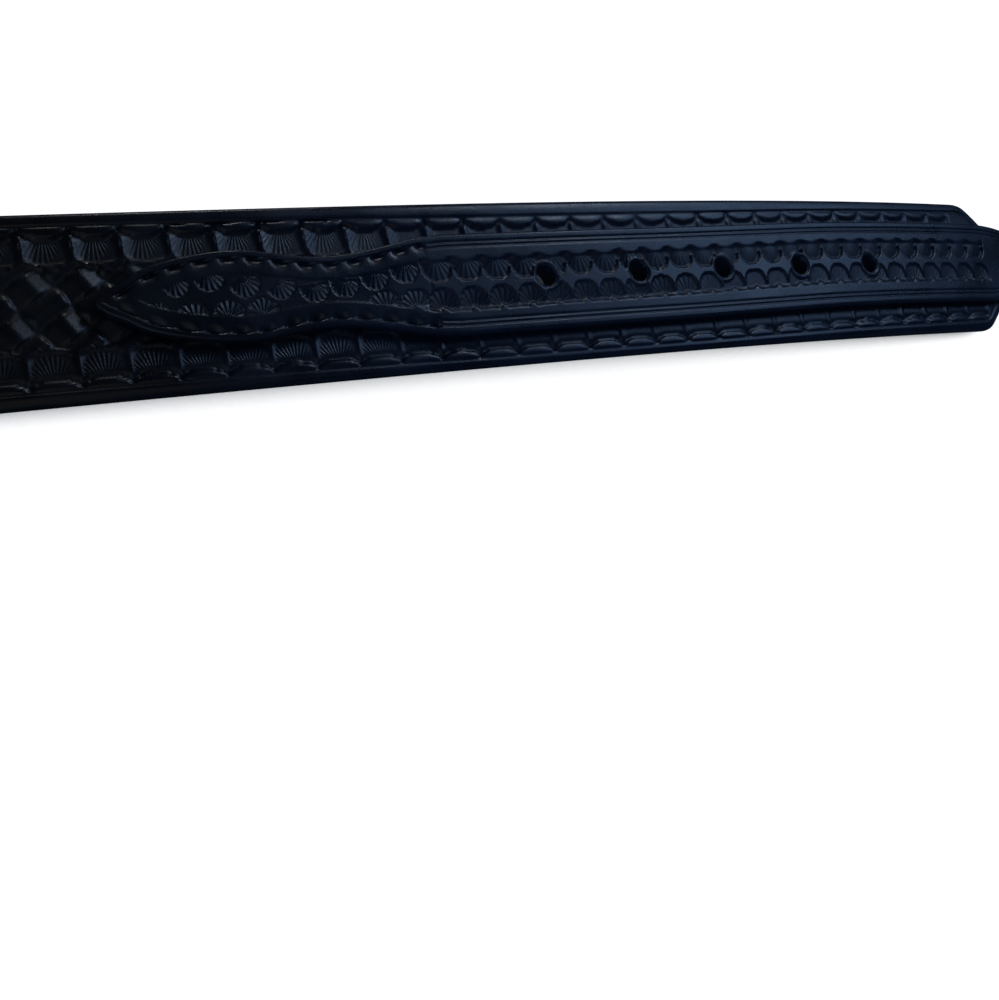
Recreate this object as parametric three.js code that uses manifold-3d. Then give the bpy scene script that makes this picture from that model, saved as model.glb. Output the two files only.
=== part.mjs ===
// A western tooled belt that lies open, face up, on a level surface.
// Units are millimetres. X runs from the buckle to the tip, Y across the strap and Z up.
// A station is a length along the strap, counted from the top of the fold at the buckle.

import * as THREE from 'three';
import { mergeVertices } from 'three/addons/utils/BufferGeometryUtils.js';
import Module from 'manifold-3d';

const wasm = await Module();
wasm.setup();

// Driving dimensions of the strap
const strapWidth = 38.1;
const strapThickness = 3.0;
const tongueWidth = 23.0;
const shoulderLength = 18.0;
const beltSize = 864.0;
const archLength = 680.0;
const archRise = 10.0;

// Holes, counted outwards from the middle one at the belt's size
const holeCount = 5;
const holePitch = 25.4;
const holeDiameter = 5.0;
const shoulderReach = 44.0;
const tipReach = 75.6;

// Overlay that covers the tip
const overlayThickness = 2.6;
const spadeReach = 99.0;
const spadeLength = 75.0;
const tipLength = 29.0;

// Fold round the buckle's bar
const bendLength = 11.0;
const levelMargin = 3.0;
const dropLength = 25.0;
const flapMargin = 7.0;
const slotReach = 8.0;
const slotRoom = 0.9;

// Buckle
const railDiameter = 4.0;
const buckleReach = 20.0;
const buckleSideRoom = 2.0;
const frontCornerRadius = 6.0;
const prongDiameter = 3.2;
const prongSeat = 0.3;
const prongOverhang = 1.0;

// Keeper loop
const keeperWidth = 10.0;
const keeperThickness = 1.8;
const keeperSideRoom = 0.8;
const keeperHeadRoom = 1.0;
const keeperInnerRadius = 1.2;

// Screw posts through the fold
const screwPitch = 12.0;
const screwHeadDiameter = 9.0;
const screwHeadThickness = 1.0;
const screwShankDiameter = 4.4;
const screwEdge = 0.3;

// Clearance between pieces that touch
const gap = 0.3;

// Steps of the faceted surfaces
const edgeSteps = 4;
const rodSides = 12;
const cornerSteps = 5;
const foldSteps = 10;
const holeSides = 24;
const fineStep = 2.5;
const coarseStep = 14.0;
const archStep = 9.0;
const traceStep = 1.0;
const cutMargin = 2.0;

// Half width at a shoulder. along: share of the shoulder's length from the wide side,
// excess: share of the strap's extra half width beyond the tongue that is left.
const shoulderTable = [
  { along: 0.0, excess: 1.0 },
  { along: 0.14, excess: 0.985 },
  { along: 0.3, excess: 0.88 },
  { along: 0.48, excess: 0.58 },
  { along: 0.68, excess: 0.22 },
  { along: 0.84, excess: 0.05 },
  { along: 1.0, excess: 0.0 },
];

// Outline of the overlay's spade. along: share of the spade's length from its point,
// half: share of the tongue's half width.
const spadeTable = [
  { along: 0.0, half: 0.06 },
  { along: 0.03, half: 0.22 },
  { along: 0.07, half: 0.35 },
  { along: 0.12, half: 0.54 },
  { along: 0.2, half: 0.7 },
  { along: 0.29, half: 0.8 },
  { along: 0.36, half: 0.835 },
  { along: 0.43, half: 0.82 },
  { along: 0.52, half: 0.73 },
  { along: 0.61, half: 0.67 },
  { along: 0.7, half: 0.7 },
  { along: 0.79, half: 0.79 },
  { along: 0.86, half: 0.88 },
  { along: 0.93, half: 0.965 },
  { along: 1.0, half: 1.0 },
];

// Stations and levels worked out from the dimensions
const foldRadius = railDiameter / 2 + gap + strapThickness / 2;
const barHeight = foldRadius + strapThickness / 2;
const floorLevel = strapThickness / 2;
const foldLevel = floorLevel + 2 * foldRadius;
const flapLevel = strapThickness + gap + strapThickness / 2;
const keeperLevel = flapLevel + keeperThickness + gap;
const keeperStart = bendLength + levelMargin;
const keeperEnd = keeperStart + keeperWidth;
const clampStart = keeperEnd + levelMargin + bendLength;
const screwStations = [
  clampStart + screwHeadDiameter / 2,
  clampStart + screwHeadDiameter / 2 + screwPitch,
];
const flapEnd = screwStations[1] + screwHeadDiameter / 2 + flapMargin;
const dropStart = flapEnd + levelMargin;
const dropEnd = dropStart + dropLength;
const firstHole = beltSize - ((holeCount - 1) / 2) * holePitch;
const lastHole = firstHole + (holeCount - 1) * holePitch;
const tipStation = lastHole + tipReach;
const tipShoulderStart = lastHole + shoulderReach;
const buckleShoulderEnd = dropEnd + shoulderLength;
const overlayStart = firstHole - spadeReach;
const archStart = tipStation - archLength;
const tongueHalf = tongueWidth / 2;
const strapHalf = strapWidth / 2;

// Largest value of u * u * u * (1 - u) for u between 0 and 1
const archPeak = 27 / 256;

// Level stretches of the strap over the fold, each reached by a smooth bend
const bends = [
  { from: 0, to: bendLength, drop: foldLevel - keeperLevel },
  { from: keeperEnd + levelMargin, to: clampStart, drop: keeperLevel - flapLevel },
  { from: dropStart, to: dropEnd, drop: flapLevel - floorLevel },
];

function share(value, from, to) {
  return Math.min(1, Math.max(0, (value - from) / (to - from)));
}

// Height of the strap's middle at a station: level stretches, then a long low arch
function runHeight(station) {
  let height = foldLevel;
  for (const bend of bends) {
    const u = share(station, bend.from, bend.to);
    height -= bend.drop * u * u * (3 - 2 * u);
  }
  const u = share(station, archStart, tipStation);
  return height + (archRise / archPeak) * u * u * u * (1 - u);
}

function runSlope(station) {
  return (runHeight(station + traceStep / 2) - runHeight(station - traceStep / 2)) / traceStep;
}

// Running X of the strap's middle, traced in short steps whose length is the strap's own
const traceX = [0];
for (let station = 0; station <= tipStation + traceStep; station += traceStep) {
  const slope = runSlope(station + traceStep / 2);
  traceX.push(traceX[traceX.length - 1] + traceStep * Math.sqrt(1 - slope * slope));
}

// Middle of the strap at a station, with the angle of its run
function runPoint(station) {
  const index = Math.min(traceX.length - 2, Math.max(0, Math.floor(station / traceStep)));
  const part = station / traceStep - index;
  const x = traceX[index] + (traceX[index + 1] - traceX[index]) * part;
  return { x, z: runHeight(station), angle: Math.asin(runSlope(station)) };
}

function smoothOutline(table, key) {
  return new THREE.SplineCurve(table.map((row) => new THREE.Vector2(row.along, row[key])));
}

const shoulderCurve = smoothOutline(shoulderTable, 'excess');
const spadeCurve = smoothOutline(spadeTable, 'half');

// Value of a smooth outline at a share of its length, found by halving
function outlineValue(curve, along) {
  let low = 0;
  let high = 1;
  const halvings = 30;
  for (let i = 0; i < halvings; i++) {
    const middle = (low + high) / 2;
    if (curve.getPoint(middle).x < along) {
      low = middle;
    } else {
      high = middle;
    }
  }
  return curve.getPoint(low).y;
}

// Half of an ellipse that closes the tip
function tipHalfWidth(station) {
  const u = share(station, tipStation - tipLength, tipStation);
  const bluntest = 0.08;
  return tongueHalf * Math.max(bluntest, Math.sqrt(1 - u * u));
}

function strapHalfWidth(station) {
  const wayIn = share(station, dropEnd, buckleShoulderEnd);
  const wayOut = share(station, tipShoulderStart, tipShoulderStart + shoulderLength);
  const excess = Math.min(outlineValue(shoulderCurve, 1 - wayIn), outlineValue(shoulderCurve, wayOut));
  const wide = tongueHalf + (strapHalf - tongueHalf) * excess;
  return Math.min(wide, tipHalfWidth(station) + (strapHalf - tongueHalf) * excess);
}

function overlayHalfWidth(station) {
  const along = share(station, overlayStart, overlayStart + spadeLength);
  return Math.min(tongueHalf * outlineValue(spadeCurve, along), tipHalfWidth(station));
}

// Stations between two ends at about the given step
function stationsBetween(from, to, step) {
  const count = Math.max(1, Math.round((to - from) / step));
  return Array.from({ length: count }, (_, i) => from + ((to - from) * i) / count);
}

// Points round a flat section with half-round edges, as [across, outwards] pairs
function strapSection(halfWidth, thickness) {
  const radius = thickness / 2;
  const edge = Math.min(radius, halfWidth);
  const points = [];
  for (const side of [1, -1]) {
    for (let i = 0; i <= edgeSteps; i++) {
      const turn = (Math.PI * i) / edgeSteps - Math.PI / 2;
      const across = side * (halfWidth - edge + edge * Math.cos(turn));
      points.push([across, side * radius * Math.sin(turn)]);
    }
  }
  return points;
}

// A section set square to a run through x and z at an angle, moved out by an offset
function placeSection(section, { x, z, angle }, offset) {
  return section.map(([across, outwards]) => {
    const height = outwards + offset;
    return new THREE.Vector3(x - height * Math.sin(angle), across, z + height * Math.cos(angle));
  });
}

// Closed surface through rings of equally many points, joined end to end or capped
function skin(rings, endless) {
  const sides = rings[0].length;
  const positions = rings.flat().flatMap((point) => point.toArray());
  const faces = [];
  const links = endless ? rings.length : rings.length - 1;
  for (let i = 0; i < links; i++) {
    const here = i * sides;
    const next = ((i + 1) % rings.length) * sides;
    for (let j = 0; j < sides; j++) {
      const k = (j + 1) % sides;
      faces.push(here + j, here + k, next + k, here + j, next + k, next + j);
    }
  }
  if (!endless) {
    const last = (rings.length - 1) * sides;
    for (let j = 1; j < sides - 1; j++) {
      faces.push(0, j + 1, j, last, last + j, last + j + 1);
    }
  }
  const geometry = new THREE.BufferGeometry();
  geometry.setAttribute('position', new THREE.Float32BufferAttribute(positions, 3));
  geometry.setIndex(faces);
  return geometry;
}

function toSolid(geometry) {
  const bare = geometry.clone();
  bare.deleteAttribute('normal');
  bare.deleteAttribute('uv');
  const merged = mergeVertices(bare, 1e-4);
  return new wasm.Manifold(new wasm.Mesh({
    numProp: 3,
    vertProperties: new Float32Array(merged.attributes.position.array),
    triVerts: new Uint32Array(merged.index.array),
  }));
}

function toGeometry(solid) {
  const mesh = solid.getMesh();
  const geometry = new THREE.BufferGeometry();
  geometry.setAttribute('position', new THREE.Float32BufferAttribute(mesh.vertProperties, 3));
  geometry.setIndex(Array.from(mesh.triVerts));
  geometry.computeVertexNormals();
  return geometry;
}

function cutAway(solid, cutters) {
  return cutters.reduce((rest, cutter) => rest.subtract(toSolid(cutter)), solid);
}

// Round cutter through the strap at a station, from one height to another above its middle
function roundCutter(station, diameter, from, to) {
  const { x, z, angle } = runPoint(station);
  const cutter = new THREE.CylinderGeometry(diameter / 2, diameter / 2, to - from, holeSides);
  cutter.rotateX(Math.PI / 2);
  cutter.translate(0, 0, (from + to) / 2);
  cutter.rotateY(-angle);
  cutter.translate(x, 0, z);
  return cutter;
}

function holeCutters() {
  const reach = strapThickness + overlayThickness + cutMargin;
  return Array.from({ length: holeCount }, (_, i) => {
    return roundCutter(firstHole + i * holePitch, holeDiameter, -reach, reach);
  });
}

// Slot round the fold that lets the prong pass
function prongSlotCutter() {
  const foldReach = foldRadius + strapThickness;
  const slot = new THREE.BoxGeometry(
    foldReach + slotReach,
    prongDiameter + 2 * slotRoom,
    2 * foldReach + 2 * cutMargin,
  );
  slot.translate((slotReach - foldReach) / 2, 0, barHeight);
  return slot;
}

// Holes and sunk seats for the screw posts, all square to the fold's level stretch
function screwCutters() {
  const underside = -flapLevel;
  const topside = strapThickness / 2;
  return screwStations.flatMap((station) => [
    roundCutter(station, screwShankDiameter + 2 * gap, underside - cutMargin, topside + cutMargin),
    roundCutter(
      station,
      screwHeadDiameter + 2 * gap,
      underside - cutMargin,
      underside + screwHeadThickness + gap,
    ),
  ]);
}

// Strap with its end folded round the bar and laid back under itself
function bodyStrap() {
  const foldedX = runPoint(flapEnd).x;
  const rings = [];
  const tongue = strapSection(tongueHalf, strapThickness);
  for (const x of stationsBetween(foldedX, 0, coarseStep)) {
    rings.push(placeSection(tongue, { x, z: floorLevel, angle: Math.PI }, 0));
  }
  for (let i = 0; i < foldSteps; i++) {
    const angle = Math.PI - (Math.PI * i) / foldSteps;
    const x = -foldRadius * Math.sin(angle);
    const z = barHeight + foldRadius * Math.cos(angle);
    rings.push(placeSection(tongue, { x, z, angle }, 0));
  }
  const stations = [
    ...stationsBetween(0, dropEnd, fineStep),
    ...stationsBetween(dropEnd, buckleShoulderEnd, fineStep),
    ...stationsBetween(buckleShoulderEnd, archStart, coarseStep * 4),
    ...stationsBetween(archStart, tipShoulderStart, archStep),
    ...stationsBetween(tipShoulderStart, tipStation, fineStep),
    tipStation,
  ];
  for (const station of stations) {
    const section = strapSection(strapHalfWidth(station), strapThickness);
    rings.push(placeSection(section, runPoint(station), 0));
  }
  return cutAway(toSolid(skin(rings, false)), [
    ...holeCutters(),
    ...screwCutters(),
    prongSlotCutter(),
  ]);
}

// Raised layer on the strap's face, from the spade's point to the tip
function tipOverlay() {
  const offset = strapThickness / 2 + gap + overlayThickness / 2;
  const spadeEnd = overlayStart + spadeLength;
  const stations = [
    ...stationsBetween(overlayStart, spadeEnd, fineStep),
    ...stationsBetween(spadeEnd, tipStation - tipLength, archStep),
    ...stationsBetween(tipStation - tipLength, tipStation, fineStep),
    tipStation,
  ];
  const rings = stations.map((station) => {
    const section = strapSection(overlayHalfWidth(station), overlayThickness);
    return placeSection(section, runPoint(station), offset);
  });
  return cutAway(toSolid(skin(rings, false)), holeCutters());
}

// Round rod bent into a rounded rectangle in the plane of the bar and the front rail
function buckleFrame() {
  const radius = railDiameter / 2;
  const rise = radius - barHeight;
  const length = Math.hypot(buckleReach, rise);
  const forwards = new THREE.Vector3(-buckleReach / length, 0, rise / length);
  const sideways = new THREE.Vector3(0, 1, 0);
  const upwards = new THREE.Vector3().crossVectors(sideways, forwards);
  const half = tongueHalf + buckleSideRoom + radius;
  const heelRadius = buckleSideRoom + radius;
  const corners = [
    { along: length - frontCornerRadius, across: half - frontCornerRadius, bend: frontCornerRadius, turn: 0 },
    { along: heelRadius, across: half - heelRadius, bend: heelRadius, turn: 1 },
    { along: heelRadius, across: heelRadius - half, bend: heelRadius, turn: 2 },
    { along: length - frontCornerRadius, across: frontCornerRadius - half, bend: frontCornerRadius, turn: 3 },
  ];
  const rings = [];
  for (const corner of corners) {
    for (let i = 0; i <= cornerSteps; i++) {
      const angle = (corner.turn + i / cornerSteps) * (Math.PI / 2);
      const outwards = forwards.clone().multiplyScalar(Math.cos(angle));
      outwards.addScaledVector(sideways, Math.sin(angle));
      const centre = new THREE.Vector3(0, 0, barHeight);
      centre.addScaledVector(forwards, corner.along);
      centre.addScaledVector(sideways, corner.across);
      centre.addScaledVector(outwards, corner.bend);
      rings.push(rodRing(centre, outwards, upwards, radius));
    }
  }
  return toSolid(skin(rings, true));
}

function rodRing(centre, outwards, upwards, radius) {
  return Array.from({ length: rodSides }, (_, i) => {
    const angle = (2 * Math.PI * (i + 0.5)) / rodSides;
    const point = centre.clone().addScaledVector(outwards, radius * Math.cos(angle));
    return point.addScaledVector(upwards, radius * Math.sin(angle));
  });
}

// Straight prong from the bar's middle to its seat on the front rail
function buckleProng() {
  const root = new THREE.Vector3(0, 0, barHeight);
  const seatHeight = railDiameter + prongDiameter / 2 - prongSeat;
  const seat = new THREE.Vector3(-buckleReach, 0, seatHeight);
  const direction = seat.clone().sub(root).normalize();
  const length = seat.distanceTo(root) + prongOverhang;
  const rod = new THREE.CapsuleGeometry(prongDiameter / 2, length, edgeSteps, rodSides);
  rod.applyQuaternion(new THREE.Quaternion().setFromUnitVectors(new THREE.Vector3(0, 1, 0), direction));
  const middle = root.clone().addScaledVector(direction, length / 2);
  rod.translate(middle.x, middle.y, middle.z);
  return toSolid(rod);
}

function buckle() {
  return buckleFrame().add(buckleProng());
}

function roundedRectangle(shape, left, bottom, width, height, radius) {
  shape.moveTo(left + radius, bottom);
  shape.lineTo(left + width - radius, bottom);
  shape.absarc(left + width - radius, bottom + radius, radius, -Math.PI / 2, 0);
  shape.lineTo(left + width, bottom + height - radius);
  shape.absarc(left + width - radius, bottom + height - radius, radius, 0, Math.PI / 2);
  shape.lineTo(left + radius, bottom + height);
  shape.absarc(left + radius, bottom + height - radius, radius, Math.PI / 2, Math.PI);
  shape.lineTo(left, bottom + radius);
  shape.absarc(left + radius, bottom + radius, radius, Math.PI, 1.5 * Math.PI);
  return shape;
}

// Flat loop round the upper strap, with room for the tip to pass above it
function keeperLoop() {
  const innerHalf = tongueHalf + keeperSideRoom;
  const tipStack = strapThickness + gap + overlayThickness;
  const innerBottom = keeperLevel - strapThickness / 2 - gap;
  const innerHeight = strapThickness + gap + tipStack + keeperHeadRoom;
  const outline = roundedRectangle(
    new THREE.Shape(),
    -innerHalf - keeperThickness,
    innerBottom - keeperThickness,
    2 * (innerHalf + keeperThickness),
    innerHeight + 2 * keeperThickness,
    keeperInnerRadius + keeperThickness,
  );
  const inside = roundedRectangle(
    new THREE.Path(),
    -innerHalf,
    innerBottom,
    2 * innerHalf,
    innerHeight,
    keeperInnerRadius,
  );
  outline.holes.push(inside);
  const loop = new THREE.ExtrudeGeometry(outline, {
    depth: keeperWidth,
    bevelEnabled: false,
    curveSegments: cornerSteps,
  });
  const acrossStrap = new THREE.Vector3(0, 1, 0);
  const upwards = new THREE.Vector3(0, 0, 1);
  const alongStrap = new THREE.Vector3(1, 0, 0);
  loop.applyMatrix4(new THREE.Matrix4().makeBasis(acrossStrap, upwards, alongStrap));
  loop.translate(runPoint(keeperStart).x, 0, 0);
  return toSolid(loop);
}

// Post with a sunk lower head and a low upper head, turned about its own axis
function screwPost(station) {
  const headRadius = screwHeadDiameter / 2;
  const shankRadius = screwShankDiameter / 2;
  const seat = flapLevel + strapThickness / 2 + gap;
  const crown = seat + screwHeadThickness;
  const profile = [
    [0, 0],
    [headRadius - screwEdge, 0],
    [headRadius, screwEdge],
    [headRadius, screwHeadThickness],
    [shankRadius, screwHeadThickness],
    [shankRadius, seat],
    [headRadius, seat],
    [headRadius, crown - screwEdge],
    [headRadius - screwEdge, crown],
    [0, crown],
  ];
  const post = new THREE.LatheGeometry(profile.map(([r, z]) => new THREE.Vector2(r, z)), holeSides);
  post.rotateX(Math.PI / 2);
  post.translate(runPoint(station).x, 0, 0);
  return toSolid(post);
}

function piece(name, solid, material) {
  const mesh = new THREE.Mesh(toGeometry(solid), material);
  mesh.name = name;
  return mesh;
}

const strapLeather = new THREE.MeshStandardMaterial({ color: 0x11151d, roughness: 0.45, metalness: 0 });
const overlayLeather = new THREE.MeshStandardMaterial({ color: 0x141a25, roughness: 0.42, metalness: 0 });
const keeperLeather = new THREE.MeshStandardMaterial({ color: 0x10141c, roughness: 0.5, metalness: 0 });
const buckleSteel = new THREE.MeshStandardMaterial({ color: 0xb8babd, roughness: 0.3, metalness: 1 });
const screwSteel = new THREE.MeshStandardMaterial({ color: 0xa9abae, roughness: 0.35, metalness: 1 });

const belt = new THREE.Group();
belt.add(piece('body_strap', bodyStrap(), strapLeather));
belt.add(piece('tip_overlay', tipOverlay(), overlayLeather));
belt.add(piece('buckle', buckle(), buckleSteel));
belt.add(piece('keeper_loop', keeperLoop(), keeperLeather));
screwStations.forEach((station, i) => {
  belt.add(piece(`screw_post_${i + 1}`, screwPost(station), screwSteel));
});

// The belt's origin is the middle of its length, on the surface that it lies on
const extent = new THREE.Box3().setFromObject(belt);
belt.position.x = -(extent.min.x + extent.max.x) / 2;

const group = new THREE.Group();
group.add(belt);

export default group;
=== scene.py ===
"""A western tooled belt that lies open, face up, on a pale floor.

The shape is worked out in millimetres in the CAD model's own frame and put into the meshes in metres.
A station is a length along the strap from the top of the fold at the buckle. A reach is a station
counted from the first prong hole, and across is measured from the strap's middle.
"""

import bpy
import numpy as np
from mathutils import Matrix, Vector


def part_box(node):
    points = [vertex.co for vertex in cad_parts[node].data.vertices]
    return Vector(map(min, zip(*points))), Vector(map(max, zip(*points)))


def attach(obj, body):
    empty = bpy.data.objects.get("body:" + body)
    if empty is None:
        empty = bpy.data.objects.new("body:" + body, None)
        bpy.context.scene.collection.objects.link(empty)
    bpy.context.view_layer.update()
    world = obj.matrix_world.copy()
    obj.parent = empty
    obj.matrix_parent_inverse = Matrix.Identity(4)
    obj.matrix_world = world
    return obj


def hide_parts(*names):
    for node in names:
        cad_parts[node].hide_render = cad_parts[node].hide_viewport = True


bl_info = {
    "name": "Tooled belt",
    "version": (1, 0, 0),
    "blender": (4, 5, 0),
    "location": "3D View > Sidebar > Belt",
    "description": "Builds a western tooled belt with its raised tip layer, buckle, keeper and posts",
    "category": "Object",
}

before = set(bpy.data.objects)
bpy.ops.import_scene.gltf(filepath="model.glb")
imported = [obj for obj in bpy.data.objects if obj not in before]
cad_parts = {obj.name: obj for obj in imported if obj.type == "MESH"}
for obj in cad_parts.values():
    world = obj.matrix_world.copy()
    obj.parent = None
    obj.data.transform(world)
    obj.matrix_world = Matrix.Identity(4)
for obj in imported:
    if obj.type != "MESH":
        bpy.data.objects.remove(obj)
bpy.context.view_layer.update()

MM = 0.001

# Sizes that the CAD model holds, in millimetres
SHOULDER_LENGTH = 18.0
BELT_SIZE = 864.0
ARCH_LENGTH = 680.0
ARCH_RISE = 10.0
HOLE_COUNT = 5
HOLE_PITCH = 25.4
SHOULDER_REACH = 44.0
TIP_REACH = 75.6
SPADE_REACH = 99.0
SPADE_LENGTH = 75.0
TIP_LENGTH = 29.0
BLUNTEST_TIP = 0.08
BEND_LENGTH = 11.0
LEVEL_MARGIN = 3.0
DROP_LENGTH = 25.0
FLAP_MARGIN = 7.0
SLOT_REACH = 8.0
SLOT_WIDTH = 5.0
RAIL_DIAMETER = 4.0
BUCKLE_REACH = 20.0
BUCKLE_SIDE_ROOM = 2.0
FRONT_CORNER_RADIUS = 6.0
PRONG_DIAMETER = 3.2
PRONG_SEAT = 0.3
PRONG_OVERHANG = 1.0
KEEPER_WIDTH = 10.0
KEEPER_THICKNESS = 1.8
KEEPER_SIDE_ROOM = 0.8
KEEPER_HEAD_ROOM = 1.0
KEEPER_INNER_RADIUS = 1.2
SCREW_PITCH = 12.0
SCREW_HEAD_DIAMETER = 9.0
SCREW_HEAD_THICKNESS = 1.0
SCREW_SHANK_DIAMETER = 4.4
SCREW_EDGE = 0.3
GAP = 0.3

# Shoulder outline: share of its length, share of the extra half width that is left
SHOULDER_OUTLINE = (
    (0.0, 1.0), (0.14, 0.985), (0.3, 0.88), (0.48, 0.58), (0.68, 0.22), (0.84, 0.05), (1.0, 0.0),
)

# Spade outline: share of its length from the point, share of the tongue's half width
SPADE_OUTLINE = (
    (0.0, 0.06), (0.03, 0.22), (0.07, 0.35), (0.12, 0.54), (0.2, 0.7), (0.29, 0.8), (0.36, 0.835),
    (0.43, 0.82), (0.52, 0.73), (0.61, 0.67), (0.7, 0.7), (0.79, 0.79), (0.86, 0.88), (0.93, 0.965), (1.0, 1.0),
)

# Shells stamped one by one on the spade: reach, across, half width, length, turn in degrees.
# A turn of 0 opens towards +Y and a turn of 180 towards -Y.
SPADE_SHELLS = (
    (-87.4, -3.4, 2.2, 2.8, 10.0), (-80.6, -5.4, 3.0, 4.3, 8.0), (-74.0, -5.0, 3.0, 4.2, -18.0),
    (-67.0, -4.7, 3.1, 4.0, -28.0), (-40.2, -5.0, 3.5, 4.3, 0.0), (-33.2, -5.2, 3.4, 4.4, 0.0),
    (-83.6, 4.2, 2.6, 4.0, 196.0), (-76.8, 5.2, 3.1, 4.2, 196.0), (-70.0, 3.5, 3.1, 4.2, 205.0),
    (-62.8, 2.6, 3.1, 4.0, 215.0), (-55.4, 1.8, 3.1, 4.0, 190.0), (-48.4, 2.6, 3.1, 4.2, 176.0),
    (-41.3, 4.0, 3.1, 4.4, 170.0), (-34.2, 5.6, 3.3, 4.8, 172.0),
)

# How far the raised layer's middle wanders from the strap's, as it is laid on by hand: reach, across
LAYER_DRIFT = (
    (-99.0, -0.6), (-75.0, -0.6), (-53.0, -0.85), (-20.0, -0.85), (5.0, -0.75), (38.0, -0.6), (65.0, -0.2),
    (90.0, 0.25), (130.0, 0.3), (155.0, 0.1), (170.0, 0.0),
)

# How far the straight rows of small shells wander from the layer's middle: reach, across
ROW_DRIFT = ((-40.0, -0.4), (-5.0, -0.4), (38.0, -0.15), (65.0, 0.1), (90.0, 0.25), (130.0, 0.0))

# How far the strap's border lines and edge shells wander from its edges: reach, across
EDGE_DRIFT = (
    (-130.0, 0.0), (-90.0, -0.1), (-53.0, -0.4), (-10.0, -0.95), (38.0, -1.0), (70.0, -0.7), (95.0, -0.4),
    (130.0, -0.2), (150.0, 0.0),
)


def linear_from_hex(code):
    """Linear RGBA of an sRGB hex colour: c / 12.92 near black, otherwise ((c + 0.055) / 1.055) ^ 2.4."""
    srgb = np.array([int(code[i:i + 2], 16) for i in (1, 3, 5)]) / 255
    linear = np.where(srgb <= 0.04045, srgb / 12.92, ((srgb + 0.055) / 1.055) ** 2.4)
    return (*linear.tolist(), 1.0)


class BeltSizes(bpy.types.PropertyGroup):
    """Sizes of the belt and its tooling"""

    strap_width: bpy.props.FloatProperty(
        name="Strap width", description="Width of the strap between its shoulders", default=0.0381,
        unit="LENGTH")
    strap_thickness: bpy.props.FloatProperty(
        name="Strap thickness", description="Thickness of the strap", default=0.003, unit="LENGTH")
    tongue_width: bpy.props.FloatProperty(
        name="Tongue width", description="Width of the strap's ends and of the raised layer", default=0.023,
        unit="LENGTH")
    overlay_thickness: bpy.props.FloatProperty(
        name="Raised layer thickness", description="Thickness of the layer on the tip", default=0.0026,
        unit="LENGTH")
    hole_diameter: bpy.props.FloatProperty(
        name="Hole diameter", description="Diameter of the prong holes", default=0.005, unit="LENGTH")
    edge_shell_pitch: bpy.props.FloatProperty(
        name="Edge shell pitch", description="Spacing of the shells stamped along the strap's edges",
        default=0.00939, unit="LENGTH")
    small_shell_pitch: bpy.props.FloatProperty(
        name="Small shell pitch", description="Spacing of the shells stamped along the raised layer",
        default=0.007257, unit="LENGTH")
    tooling_depth: bpy.props.FloatProperty(
        name="Tooling depth", description="Depth of the stamps, as a share of the usual depth", default=1.0,
        min=0.0, max=1.5, subtype="FACTOR")


class BeltColours(bpy.types.PropertyGroup):
    """Colours of the leather, the plating and the floor"""

    fresh_dye: bpy.props.FloatVectorProperty(
        name="Fresh dye", description="Colour of the strap's grain side", size=4, subtype="COLOR",
        default=linear_from_hex("#111318"))
    # Painted blue fill light: this bluer tone is coloured onto the leather towards the tip, in place of blue
    # light falling there
    painted_fill_dye: bpy.props.FloatVectorProperty(
        name="Handled dye", description="Colour towards the tip, where handling has thinned the black", size=4,
        subtype="COLOR", default=linear_from_hex("#18263d"))
    flesh_side: bpy.props.FloatVectorProperty(
        name="Flesh side", description="Colour of the strap's underside", size=4, subtype="COLOR",
        default=linear_from_hex("#060708"))
    nickel: bpy.props.FloatVectorProperty(
        name="Nickel", description="Colour of the buckle's and posts' plating", size=4, subtype="COLOR",
        default=linear_from_hex("#c4c0b6"))
    floor: bpy.props.FloatVectorProperty(
        name="Floor", description="Colour of the floor", size=4, subtype="COLOR",
        default=linear_from_hex("#f4f4f4"))


def share(value, start, end):
    """Part of the way from start to end, kept between 0 and 1."""
    return np.clip((value - start) / (end - start), 0.0, 1.0)


def eased(value, start, end):
    """Part of the way from start to end, eased at both ends: u * u * (3 - 2 * u)."""
    u = share(value, start, end)
    return u * u * (3.0 - 2.0 * u)


def line_mark(distance, width):
    """Round ridge or groove of height 1 on a line: exp(-(distance / width) ^ 2)."""
    return np.exp(-np.square(distance / width))


def smooth_outline(table, along):
    """Outline through a table's rows: a Catmull-Rom curve, read where its first value is along."""
    rows = np.array(table)
    knots = np.concatenate([rows[:1], rows, rows[-1:]])
    before, start, end, after = knots[:-3, None], knots[1:-2, None], knots[2:-1, None], knots[3:, None]
    u = np.linspace(0.0, 1.0, 40)[None, :, None]
    leave, arrive = (end - before) / 2, (after - start) / 2
    curve = ((2 * start - 2 * end + leave + arrive) * u ** 3
             + (3 * end - 3 * start - 2 * leave - arrive) * u ** 2 + leave * u + start)
    return np.interp(along, curve[..., 0].ravel(), curve[..., 1].ravel())


def spaced(start, end, step):
    """Stations from start up to end, without end, at about the step."""
    return np.linspace(start, end, max(1, round((end - start) / step)), endpoint=False)


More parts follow.
